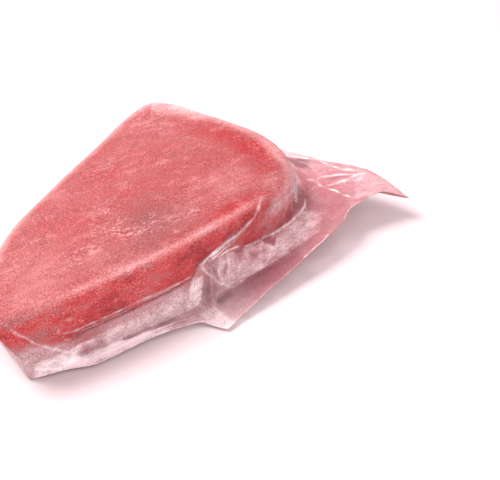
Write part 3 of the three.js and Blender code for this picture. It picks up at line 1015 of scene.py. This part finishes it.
@dataclass
class Steak:
    """The frozen flesh inside the pouch."""

    form: SteakForm
    finish: "FleshFinish"
    columns: int = 300
    top_rows: int = 42
    shoulder_rows: int = 10
    wall_rows: int = 16
    foot_rows: int = 4
    under_rows: int = 8
    floor_gap: float = 0.4
    wave: float = 0.55
    wave_size: Triple = (34.0, 20.0, 16.0)
    grain: float = 0.12
    grain_size: Triple = (7.0, 2.6, 3.4)
    relief_z: Pair = (0.5, 3.0)
    back_facing: Facing = Facing(0.55, 1.0, -0.45, 0.25)
    end_facing: Facing = Facing(0.85, 0.45, -0.2, 0.75)
    left_drop: Ramp = Ramp(0.0, 0.5, 8, -16)
    ridge: float = 0.25
    # Place, width and reach along x of the painted highlight along the front top edge.
    rim_place: float = 0.24
    rim_width: float = 0.26
    rim_x: tuple[Ramp, ...] = (Ramp(0.0, 1.0, 93, 82), Ramp(0.3, 1.0, -6, 14), Ramp(0.95, 1.25, 30, 75))
    corner_y: Pair = (58.0, 78.0)
    # How strong the frost and painted backlit glow are at the back, and where they end down the shoulder.
    back_frost_and_backlight: Ramp = Ramp(0.42, 0.85, 82, 96)
    frost_and_backlight_end: Pair = (0.8, 1.8)
    front_face_end: Pair = (0.1, 0.5)
    back_face_end: Pair = (0.6, 1.4)

    def column(self, u: float) -> list[Vector]:
        """One meridian of the steak.

        Args:
            u: Fraction of the outline's length.

        Returns:
            Its points, from the centre of the top to the centre of the underside.
        """
        form, at = self.form, self.form.meridian(u)
        round_end = at.radius * math.pi / 2
        wall_end = form.down_to(at, form.foot_radius)
        points = [form.top(at, i / self.top_rows) for i in range(self.top_rows + 1)]
        for i in range(1, self.shoulder_rows + 1):
            points.append(form.skin(at, round_end * i / self.shoulder_rows, 0))
        for i in range(1, self.wall_rows + 1):
            points.append(form.skin(at, mix(round_end, wall_end, i / self.wall_rows), 0))
        for i in range(1, self.foot_rows + 1):
            points.append(form.wall(at, form.foot_radius * (1 - math.sin(i / self.foot_rows * math.pi / 2))))
        points += [form.under(at, 1 - i / self.under_rows) for i in range(1, self.under_rows + 1)]
        for point in points:
            point.z = max(point.z, self.floor_gap)
        return points

    def relief(self, point: Vector) -> float:
        """How far the flesh stands out: long shallow waves, and a finer grain along the steak.

        Args:
            point: The point of its surface.

        Returns:
            The distance, which is below 0, as the flesh only sinks in.
        """
        slow, fine = noise_at(point, self.wave_size), noise_at(point, self.grain_size)
        sunk = -self.wave * (0.5 + 0.5 * slow) - self.grain * (0.5 + 0.5 * fine)
        return sunk * ease(point.z, *self.relief_z)

    def marks(self, place: Vector, row: int, at: Meridian) -> tuple[float, ...]:
        """How the flesh looks at one vertex.

        Args:
            place: Where the vertex is.
            row: Its row, from the centre of the top.
            at: Its meridian.

        Returns:
            A number for each of the flesh's marks, in their order.
        """
        rich, frost, dull = (
            sum(spot.share(place) for spot in spots) for spots in (RICH_SPOTS, FROST_SPOTS, DULL_SPOTS)
        )
        back, end = self.back_facing.share(at.normal), self.end_facing.share(at.normal)
        past = (row - self.top_rows) / self.shoulder_rows
        past -= self.left_drop.at(place.x) * (1 - back)
        # The rim mark: a painted highlight along the front top edge, fading out on the back side.
        rim = math.exp(-(((past - self.rim_place) / self.rim_width) ** 2)) * (1 - back)
        rim *= math.prod(ramp.at(place.x) for ramp in self.rim_x)
        # Frost on the back and end shoulders, painted brighter there as a backlit glow on the edges facing
        # away.
        rear = END_FROST_AND_BACKLIGHT.towards(CORNER_FROST_AND_BACKLIGHT, ease(place.y, *self.corner_y))
        side = FRONT_FROST_AND_BACKLIGHT.towards(BACK_FROST_AND_BACKLIGHT, back).towards(rear, end)
        frost_and_backlight = side.strength * max(end, self.back_frost_and_backlight.at(place.x) * back)
        frost_and_backlight *= ease(past, side.start, side.start + side.length) * (1 - ease(past, *self.frost_and_backlight_end))
        face_end = (mix(front, rear, back) for front, rear in zip(self.front_face_end, self.back_face_end))
        return rich, frost, rim, frost_and_backlight, 1 - ease(past, *face_end), dull

    def build(self) -> bpy.types.Object:
        """Makes the steak and dresses it.

        Returns:
            The finished piece.
        """
        meridians = [self.form.meridian(i / self.columns) for i in range(self.columns)]
        ball = bent_ball("steak", [self.column(at.u) for at in meridians])
        ball.normal_update()
        layers = [ball.verts.layers.float.new(name) for name in FLESH_MARKS]
        column_layer, row_layer = ball.verts.layers.int["column"], ball.verts.layers.int["row"]
        places = []
        for vertex in ball.verts:
            marks = self.marks(vertex.co, vertex[row_layer], meridians[vertex[column_layer]])
            for layer, amount in zip(layers, marks):
                vertex[layer] = amount
            # The painted highlight's band also stands up as a small real ridge.
            rise = self.relief(vertex.co) + self.ridge * marks[FLESH_MARKS.index("rim")]
            places.append(vertex.co + vertex.normal * rise)
        return finished("tuna_steak", in_metres(ball, places), self.finish.material())


@dataclass
class Pouch:
    """The clear bag: film shrunk onto the steak, its folds and its sealed skirt with the loose flap."""

    skirt: SkirtForm
    folds: Folds
    finish: "FilmFinish"
    gap: float = 0.3
    film: float = 0.3
    probes: int = 1200
    pitch: float = 0.5
    narrow_pitch: float = 1.5
    top_rows: int = 7
    wrap_rows: int = 26
    wrap_power: float = 1.4
    span_rows: tuple[int, int, int] = (16, 18, 18)
    low_rows: tuple[int, int, int] = (8, 12, 12)
    foot_rows: int = 5
    under_rows: int = 5
    fold_passes: int = 2
    veil_passes: int = 3
    tight_veil: float = 0.05
    fade_rows: Ramp = Ramp(1.0, 14.0, 10, -4)
    bridge_x: Pair = (112.0, 120.0)
    bridge_y: Pair = (56.0, 48.0)
    bridge_lead: int = 2
    bridge_past: int = 2
    bridge_fade: int = 6
    crinkle: float = 0.25
    broad_size: Triple = (9.0, 9.0, 12.0)
    sharp_size: Triple = (5.0, 4.0, 8.0)
    sharp_shift: float = 7.0
    crinkle_shares: Triple = (0.6, -0.9, 0.2)
    crinkle_rows: tuple[int, int] = (8, 4)
    crinkle_z: Ramp = Ramp(0.3, 1.0, 0.4, 3.0)

    def fractions(self) -> list[float]:
        """Where the meridians stand, closer together where the skirt is wide.

        Returns:
            Fractions of the outline's length, from the start of the wide stretch once round.
        """
        us = [self.skirt.start + i / self.probes for i in range(self.probes + 1)]
        cost = [0.0]
        last = self.skirt.at(us[0])
        for u in us[1:]:
            cut = self.skirt.at(u)
            pitch = self.pitch if u <= self.skirt.end else self.narrow_pitch
            step = max((cut.edge - last.edge).length, (cut.inner - last.inner).length)
            cost.append(cost[-1] + step / pitch)
            last = cut
        count = math.ceil(cost[-1])
        fractions = []
        i = 1
        for k in range(count):
            goal = cost[-1] * k / count
            while cost[i] < goal:
                i += 1
            t = (goal - cost[i - 1]) / max(cost[i] - cost[i - 1], TINY)
            fractions.append(mix(us[i - 1], us[i], t))
        return fractions

    def column(self, u: float) -> list[tuple[Vector, float, float]]:
        """One meridian of the bag.

        Args:
            u: Fraction of the outline's length.

        Returns:
            Its points with their veil and blush, from the centre of the top to the centre of the underside.
        """
        form, cut = self.skirt.steak, self.skirt.at(u)
        at = form.meridian(u)
        tight = [form.top(at, i / self.top_rows, self.gap) for i in range(self.top_rows + 1)]
        down = form.down_to(at, cut.leave)
        for i in range(1, self.wrap_rows + 1):
            share = 1 - (1 - i / self.wrap_rows) ** self.wrap_power
            tight.append(form.skin(at, down * share, self.gap))
        upper = self.spans((tight[-1], cut.inner, cut.outer, cut.edge), cut.veil, self.span_rows)
        fade = self.fade_rows.at(cut.inner.x)
        upper = [
            (point, mix(self.tight_veil, veil, ease(i, -1, fade))) for i, (point, veil) in enumerate(upper)
        ]
        drop = Vector((0, 0, -self.film))
        foot = max(cut.under, self.gap)
        root = form.wall(at, foot, self.gap)
        corners = (root, cut.inner + drop, cut.outer + drop, cut.edge + drop)
        lower = [(root, cut.veil[1]), *self.spans(corners, (cut.veil[1], *cut.veil[1:]), self.low_rows)]
        below = []
        for i in range(1, self.foot_rows + 1):
            below.append(form.wall(at, foot * (1 - i / self.foot_rows), self.gap))
        below += [form.under(at, 1 - i / self.under_rows) for i in range(1, self.under_rows + 1)]
        points = [(point, self.tight_veil) for point in tight] + upper + lower[::-1]
        points += [(point, self.tight_veil) for point in below]
        bridge = ease(cut.inner.x, *self.bridge_x) * ease(cut.inner.y, *self.bridge_y)
        first = self.top_rows + self.wrap_rows
        last = first + self.span_rows[0] + self.bridge_past
        column = []
        for i, (point, veil) in enumerate(points):
            bridged = ease(i, first - self.bridge_lead, first) - ease(i, last - self.bridge_fade, last)
            column.append((self.above_floor(point), veil, cut.blush + bridge * bridged))
        return column

    @staticmethod
    def above_floor(point: Vector) -> Vector:
        """The point, lifted to just above the floor if it is lower."""
        point.z = max(point.z, FLOOR_GAP)
        return point

    def spans(
        self, corners: Sequence[Vector], veils: Sequence[float], rows: Sequence[int]
    ) -> list[tuple[Vector, float]]:
        """Points along a folded line, without its first, with the folds softened.

        Args:
            corners: The line's corners.
            veils: How milky each stretch is.
            rows: How many rows each stretch has.

        Returns:
            The points with their veils.
        """
        points, milk = [corners[0]], [veils[0]]
        for a, b, veil, count in zip(corners, corners[1:], veils, rows):
            points += [a.lerp(b, i / count) for i in range(1, count + 1)]
            milk += [veil] * count
        for _ in range(self.fold_passes):
            middle = zip(points, points[1:], points[2:])
            points = [points[0], *(a * 0.25 + b * 0.5 + c * 0.25 for a, b, c in middle), points[-1]]
        for _ in range(self.veil_passes):
            around = zip(milk, milk[1:], milk[2:])
            milk = [milk[0], *((a + b + c) / 3 for a, b, c in around), milk[-1]]
        return list(zip(points[1:], milk[1:]))

    def ripple(self, point: Vector) -> float:
        """Height of the small crinkles at a point of the skirt.

        Args:
            point: The point.

        Returns:
            The height, below 0 in a dent.
        """
        broad, sharp, rest = self.crinkle_shares
        broad *= noise_at(point, self.broad_size)
        sharp *= abs(noise_at(point, self.sharp_size, self.sharp_shift))
        return self.crinkle * (broad + sharp + rest)

    def build(self) -> bpy.types.Object:
        """Makes the bag and dresses it.

        Returns:
            The finished piece.
        """
        columns = [self.column(u) for u in self.fractions()]
        ball = bent_ball("pouch", [[point for point, _, _ in column] for column in columns])
        ball.normal_update()
        self.folds.lay(BVHTree.FromBMesh(ball))
        layers = [ball.verts.layers.float.new(name) for name in FILM_MARKS]
        column_layer, row_layer = ball.verts.layers.int["column"], ball.verts.layers.int["row"]
        first = self.top_rows + self.wrap_rows
        edge = first + sum(self.span_rows)
        last = edge + sum(self.low_rows) + 1
        start, end = self.crinkle_rows
        places = []
        for vertex in ball.verts:
            row = vertex[row_layer]
            _, veil, blush = columns[vertex[column_layer]][row]
            # The tone is the painted highlight and painted shade of the creases and facets.
            lift, tone = self.folds.read(vertex.co)
            loose = ease(row, first, first + start) * (1 - ease(row, last - end, last))
            rise = lift + self.ripple(vertex.co) * loose * self.crinkle_z.at(vertex.co.z)
            upper = row <= edge
            places.append(self.above_floor(vertex.co + vertex.normal * (rise if upper else -rise)))
            for layer, amount in zip(layers, (veil, blush, tone if upper else 0.0)):
                vertex[layer] = amount
        return finished("pouch_film", in_metres(ball, places), self.finish.material())


# -------------------------------------------------------------------------------------------------------
# Finishes
# -------------------------------------------------------------------------------------------------------


class Wire:
    """One output of a shader node. Arithmetic on it adds Math nodes."""

    def __init__(self, bench: "Bench", socket: bpy.types.NodeSocket) -> None:
        """Keeps the bench that the node stands on, and the output."""
        self.bench, self.socket = bench, socket

    def math(self, operation: str, *values: "Wire | float") -> "Wire":
        """A Math node with these inputs."""
        return self.bench.add("ShaderNodeMath", {"operation": operation}, dict(enumerate(values)))

    def __add__(self, other: "Wire | float") -> "Wire":
        """The sum."""
        return self.math("ADD", self, other)

    def __radd__(self, other: float) -> "Wire":
        """The sum."""
        return self.math("ADD", other, self)

    def __sub__(self, other: "Wire | float") -> "Wire":
        """The difference."""
        return self.math("SUBTRACT", self, other)

    def __rsub__(self, other: float) -> "Wire":
        """The difference, taken from a number."""
        return self.math("SUBTRACT", other, self)

    def __mul__(self, other: "Wire | float") -> "Wire":
        """The product."""
        return self.math("MULTIPLY", self, other)

    def __rmul__(self, other: float) -> "Wire":
        """The product."""
        return self.math("MULTIPLY", other, self)

    def ramp(self, start: float, end: float) -> "Wire":
        """A smooth step from 0 at start to 1 at end."""
        inputs = {"Value": self, "From Min": start, "From Max": end}
        return self.bench.add("ShaderNodeMapRange", {"interpolation_type": "SMOOTHSTEP"}, inputs)

    def held(self) -> "Wire":
        """The value, held between 0 and 1."""
        return self.bench.add("ShaderNodeClamp", {}, {"Value": self})


class Bench:
    """The node tree of one material."""

    NOISE_ROUGHNESS = 0.55
    # Sockets that are told by number, as others share their names.
    OBJECT_PLACE = 3
    ATTRIBUTE_NUMBER = 2
    SCALE_SHARE = 3
    MIX_COLOURS = (6, 7)
    MIX_RESULT = 2

    def __init__(self, name: str) -> None:
        """Starts an empty material.

        Args:
            name: Its name.
        """
        self.material = bpy.data.materials.new(name)
        self.material.use_nodes = True
        self.tree = self.material.node_tree
        self.tree.nodes.clear()

    def add(self, kind: str, settings: dict, inputs: dict, output: int = 0) -> Wire:
        """Adds a node.

        Args:
            kind: The node's type.
            settings: Its settings, which are set first.
            inputs: A value or a wire for each input, by name or number.
            output: Which of its outputs is wanted.

        Returns:
            The wanted output.
        """
        node = self.tree.nodes.new(kind)
        for name, value in settings.items():
            setattr(node, name, value)
        for key, value in inputs.items():
            if isinstance(value, Wire):
                self.tree.links.new(value.socket, node.inputs[key])
            else:
                node.inputs[key].default_value = value
        return Wire(self, node.outputs[output])

    def place(self, stretch: Triple = (1.0, 1.0, 1.0)) -> Wire:
        """The place on the piece, in millimetres.

        Args:
            stretch: What each coordinate is multiplied by.

        Returns:
            The place.
        """
        place = self.add("ShaderNodeTexCoord", {}, {}, self.OBJECT_PLACE)
        scale = tuple(share / MM for share in stretch)
        return self.add("ShaderNodeVectorMath", {"operation": "MULTIPLY"}, {0: place, 1: scale})

    def noise(
        self, size: float, stretch: Triple = (1.0, 1.0, 1.0), detail: float = 3.0, warp: float = 0.0
    ) -> Wire:
        """Soft noise.

        Args:
            size: Rough size of its features, in millimetres.
            stretch: What each coordinate is multiplied by.
            detail: How many finer layers it has.
            warp: How much it is distorted.

        Returns:
            The noise, from 0 to 1.
        """
        inputs = {"Vector": self.place(stretch), "Scale": 1 / size, "Detail": detail, "Distortion": warp}
        inputs["Roughness"] = self.NOISE_ROUGHNESS
        return self.add("ShaderNodeTexNoise", {"noise_dimensions": "3D"}, inputs)

    def cells(self, size: float, stretch: Triple = (1.0, 1.0, 1.0)) -> Wire:
        """Distance to the nearest of random points about the given size in millimetres apart."""
        inputs = {"Vector": self.place(stretch), "Scale": 1 / size}
        return self.add("ShaderNodeTexVoronoi", {"feature": "F1"}, inputs)

    def attribute(self, name: str) -> Wire:
        """A number kept on the mesh's vertices."""
        return self.add("ShaderNodeAttribute", {"attribute_name": name}, {}, self.ATTRIBUTE_NUMBER)

    def blend(self, share: Wire, a: "Wire | Colour", b: "Wire | Colour") -> Wire:
        """Mixes two colours.

        Args:
            share: How much of the second colour there is.
            a: The first colour.
            b: The second colour.

        Returns:
            The mixed colour.
        """
        inputs = {0: share}
        for key, colour in zip(self.MIX_COLOURS, (a, b)):
            inputs[key] = colour if isinstance(colour, Wire) else (*colour, 1.0)
        return self.add("ShaderNodeMix", {"data_type": "RGBA"}, inputs, self.MIX_RESULT)

    def scaled(self, colour: Wire, share: Wire) -> Wire:
        """A colour times a number."""
        return self.add("ShaderNodeVectorMath", {"operation": "SCALE"}, {0: colour, self.SCALE_SHARE: share})

    def bump(self, height: Wire, strength: float, distance: float) -> Wire:
        """A bump of the given depth in millimetres."""
        inputs = {"Height": height, "Strength": strength, "Distance": distance * MM}
        return self.add("ShaderNodeBump", {}, inputs)

    def surface(self, inputs: dict) -> bpy.types.Material:
        """Ends the tree in a Principled shader.

        Args:
            inputs: A value or a wire for each of the shader's inputs that is set.

        Returns:
            The finished material.
        """
        shader = self.add("ShaderNodeBsdfPrincipled", {}, inputs)
        end = self.tree.nodes.new("ShaderNodeOutputMaterial")
        self.tree.links.new(shader.socket, end.inputs["Surface"])
        return self.material


@dataclass(frozen=True)
class FleshFinish:
    """Frozen tuna: mottled red with faint fibres, a painted highlight along the front top edge, frost on the
    shoulders painted brighter as a backlit glow, and white flecks of frost.
    """

    body: Colour = linear(155, 73, 73)
    rich: Colour = linear(153, 41, 43)
    pale: Colour = linear(172, 102, 102)
    dull: Colour = linear(124, 60, 62)
    wall: Colour = linear(193, 68, 68)
    deep: Colour = linear(150, 39, 41)
    # Frost's colour, which also colours the painted highlight along the front top edge and the painted
    # backlit glow of the shoulders.
    frost: Colour = linear(218, 164, 164)
    roughness: float = 0.62
    gloss: float = 0.12
    scatter: float = 0.1
    scatter_reach: Triple = (1.0, 0.35, 0.3)

    def material(self) -> bpy.types.Material:
        """Mottles the top and the wall, then lays over both the frost, the painted highlight along the front
        top edge and the painted backlit glow of the shoulders.

        Returns:
            The flesh's material.
        """
        bench = Bench("tuna_flesh")
        rich, frost, rim, frost_and_backlight, face, dull = (bench.attribute(name) for name in FLESH_MARKS)
        mottle = bench.noise(13.0, (0.6, 1.0, 1.0), 4.0, 0.4) - 0.5
        fibre = bench.noise(3.6, (0.45, 1.0, 0.8), 4.0, 0.2) - 0.5
        blotch = bench.noise(6.0, (0.7, 1.0, 1.0), 6.0, 0.3) - 0.5
        grain = bench.noise(0.5, detail=1.0) - 0.5
        top = bench.blend((rich + mottle * 2.0 + fibre * 0.8).held(), self.body, self.rich)
        top = bench.blend((rich * -0.8 - mottle * 2.0 + fibre * 1.6).held(), top, self.pale)
        top = bench.blend((dull * (blotch * 2.0 + 0.7)).held(), top, self.dull)
        side = bench.blend((rich * 0.5 + blotch * 4.5 + 0.15).held(), self.wall, self.deep)
        side = bench.blend((blotch * -4.5 - rich * 0.5 + fibre * 1.2 - 0.1).held(), side, self.pale)
        colour = bench.blend(face, side, top)
        flake = bench.noise(1.3, (0.7, 1.2, 1.0), 2.0)
        stroke = bench.noise(3.0, (0.6, 1.3, 1.0), 4.0, 1.6)
        flecks = (flake.ramp(0.56, 0.66) + stroke.ramp(0.56, 0.62)) * (frost + 0.1).held() * 0.45
        haze = bench.noise(4.0, (0.7, 1.0, 1.0), 5.0).ramp(0.52, 0.72) * 0.16
        # Frost, flecks and haze, plus the rim mark's painted highlight and the painted backlit glow of the
        # shoulders.
        frost_and_painted_light = rim * (0.38 + blotch * 0.9) + frost_and_backlight * (0.8 + blotch * 1.2) + flecks + haze + grain * 0.4
        colour = bench.blend(frost_and_painted_light.held(), colour, self.frost)
        colour = bench.scaled(colour, grain * 1.5 + fibre * 0.3 + blotch * 0.3 + 1.0)
        relief = bench.bump(fibre * 0.3 + grain * 0.4 + flecks * 0.6, 0.35, 0.25)
        return bench.surface({
            "Base Color": colour,
            "Roughness": self.roughness,
            "Specular IOR Level": self.gloss,
            "Normal": relief,
            "Subsurface Weight": self.scatter,
            "Subsurface Radius": self.scatter_reach,
            "Subsurface Scale": MM,
        })


@dataclass(frozen=True)
class FilmFinish:
    """Clear pouch film: nearly unseen where it is tight, milky where it is loose, with painted highlights
    whitening its creases and painted shade darkening some folds.
    """

    clear: Colour = linear(228, 202, 204)
    pink: Colour = linear(184, 112, 119)
    # Colours of the painted highlights and the painted shade on the creases and facets.
    white: Colour = linear(255, 247, 248)
    shade: Colour = linear(86, 50, 64)
    flesh: Colour = linear(222, 132, 137)
    roughness: float = 0.36
    gloss: float = 0.35
    ior: float = 1.5

    def material(self) -> bpy.types.Material:
        """Tints the film, then says how much of it is seen.

        Returns:
            The film's material.
        """
        bench = Bench("pouch_film")
        veil, blush, tone = (bench.attribute(name) for name in FILM_MARKS)
        cloud = bench.noise(9.0, detail=5.0, warp=0.6)
        streak = bench.noise(2.6, (0.6, 1.0, 1.0), 3.0, 0.3)
        grain = bench.noise(0.6, detail=1.0) - 0.5
        tint = bench.blend((blush * (0.6 + cloud * 0.8)).held(), self.clear, self.pink)
        tint = bench.blend((blush - 1.0).held(), tint, self.flesh)
        # Painted highlights: a tone above 0 whitens the film.
        tint = bench.blend((tone + (streak - 0.57) * 0.5 + grain * 0.4).held(), tint, self.white)
        # Painted shade: a tone below 0 darkens the film.
        tint = bench.blend((tone * -1.0).held(), tint, self.shade)
        milk = veil * (0.7 + cloud * 0.5 + (streak - 0.5) * 0.6 + grain * 0.8)
        force = tone.math("ABSOLUTE", tone)
        uneven = (streak * 2.0 + grain * 1.2 - 1.0) * (1 - force)
        alpha = (milk + force * (uneven + 0.55)).held()
        wrinkle = bench.noise(3.2, (0.7, 1.0, 1.0), 2.0, 0.6) + bench.cells(6.0, (0.7, 1.0, 0.7)) * veil * 3.0
        return bench.surface({
            "Base Color": tint,
            "Alpha": alpha,
            "Roughness": self.roughness,
            "Specular IOR Level": self.gloss,
            "Normal": bench.bump(wrinkle, 0.25, 0.3),
            "IOR": self.ior,
        })


@dataclass(frozen=True)
class FloorFinish:
    """White studio table that turns faintly mauve in shadow."""

    colour: Colour = (0.635, 0.56, 0.57)
    cloud: Colour = (1.0, 1.0, 1.0)
    cloud_share: float = 0.02
    cloud_size: float = 400.0
    roughness: float = 0.9
    gloss: float = 0.1

    def material(self) -> bpy.types.Material:
        """Clouds the table's colour a little.

        Returns:
            The table's material.
        """
        bench = Bench("studio_floor")
        cloud = bench.noise(self.cloud_size, detail=1.0)
        colour = bench.blend(cloud * self.cloud_share, self.colour, self.cloud)
        inputs = {"Base Color": colour, "Roughness": self.roughness, "Specular IOR Level": self.gloss}
        return bench.surface(inputs)


# -------------------------------------------------------------------------------------------------------
# Studio
# -------------------------------------------------------------------------------------------------------

WARM = (1.0, 0.87, 0.90)


class Lamp(Enum):
    """The studio's soft lights: place, width and depth in metres, power in watts, and colour."""

    KEY = ((-0.42, 0.50, 0.88), (0.50, 0.50), 19.0, (1.0, 1.0, 1.0))
    FILL = ((0.28, -0.78, 0.58), (1.0, 0.8), 5.2, WARM)


@dataclass
class Studio:
    """Floor, lights, sky and camera."""

    floor_side: float = 6.0
    sky: float = 0.74
    lens: float = 85.0
    camera_place: Point = (-0.1954, -0.3077, 0.2530)
    camera_tilt: float = 55.0
    camera_turn: float = -38.0

    def build(self) -> None:
        """Sets the studio up round the pack."""
        self.build_floor()
        for lamp in Lamp:
            self.build_lamp(lamp)
        self.build_sky()
        self.build_camera()
        bpy.context.scene.view_settings.view_transform = "Standard"

    def build_floor(self) -> None:
        """The white table."""
        shape = bmesh.new()
        bmesh.ops.create_grid(shape, x_segments=2, y_segments=2, size=self.floor_side / 2)
        finished("floor", shape, FloorFinish().material())

    def build_lamp(self, lamp: Lamp) -> None:
        """One soft light, turned to the pack.

        Args:
            lamp: Which one.
        """
        place, (width, depth), power, colour = lamp.value
        light = bpy.data.lights.new(lamp.name.lower(), "AREA")
        light.shape = "RECTANGLE"
        light.size = width
        light.size_y = depth
        light.energy = power
        light.color = colour
        stand = stood(lamp.name.lower(), light)
        stand.location = place
        stand.rotation_euler = (-Vector(place)).to_track_quat("-Z", "Y").to_euler()

    def build_sky(self) -> None:
        """Even warm white light from all round."""
        world = bpy.data.worlds.new("studio_sky")
        world.use_nodes = True
        background = world.node_tree.nodes["Background"]
        background.inputs["Color"].default_value = (*WARM, 1.0)
        background.inputs["Strength"].default_value = self.sky
        bpy.context.scene.world = world

    def build_camera(self) -> None:
        """The camera, above the pack's front left."""
        lens = bpy.data.cameras.new("camera")
        lens.lens = self.lens
        camera = stood("camera", lens)
        camera.location = self.camera_place
        camera.rotation_euler = (math.radians(self.camera_tilt), 0.0, math.radians(self.camera_turn))
        bpy.context.scene.camera = camera


def main() -> None:
    """Builds the pack and the studio, and hands each piece to the frame."""
    logging.basicConfig(level=logging.INFO, format="%(name)s: %(message)s")
    form = SteakForm()
    steak = Steak(form, FleshFinish()).build()
    pouch = Pouch(SkirtForm(form), Folds(), FilmFinish()).build()
    for piece, slot in ((steak, "flesh"), (pouch, "film")):
        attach(piece, "root")
        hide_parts(NODE)
        log.info("%s: %d faces", piece.name, len(piece.data.polygons))
    Studio().build()


if __name__ == "__main__":
    main()
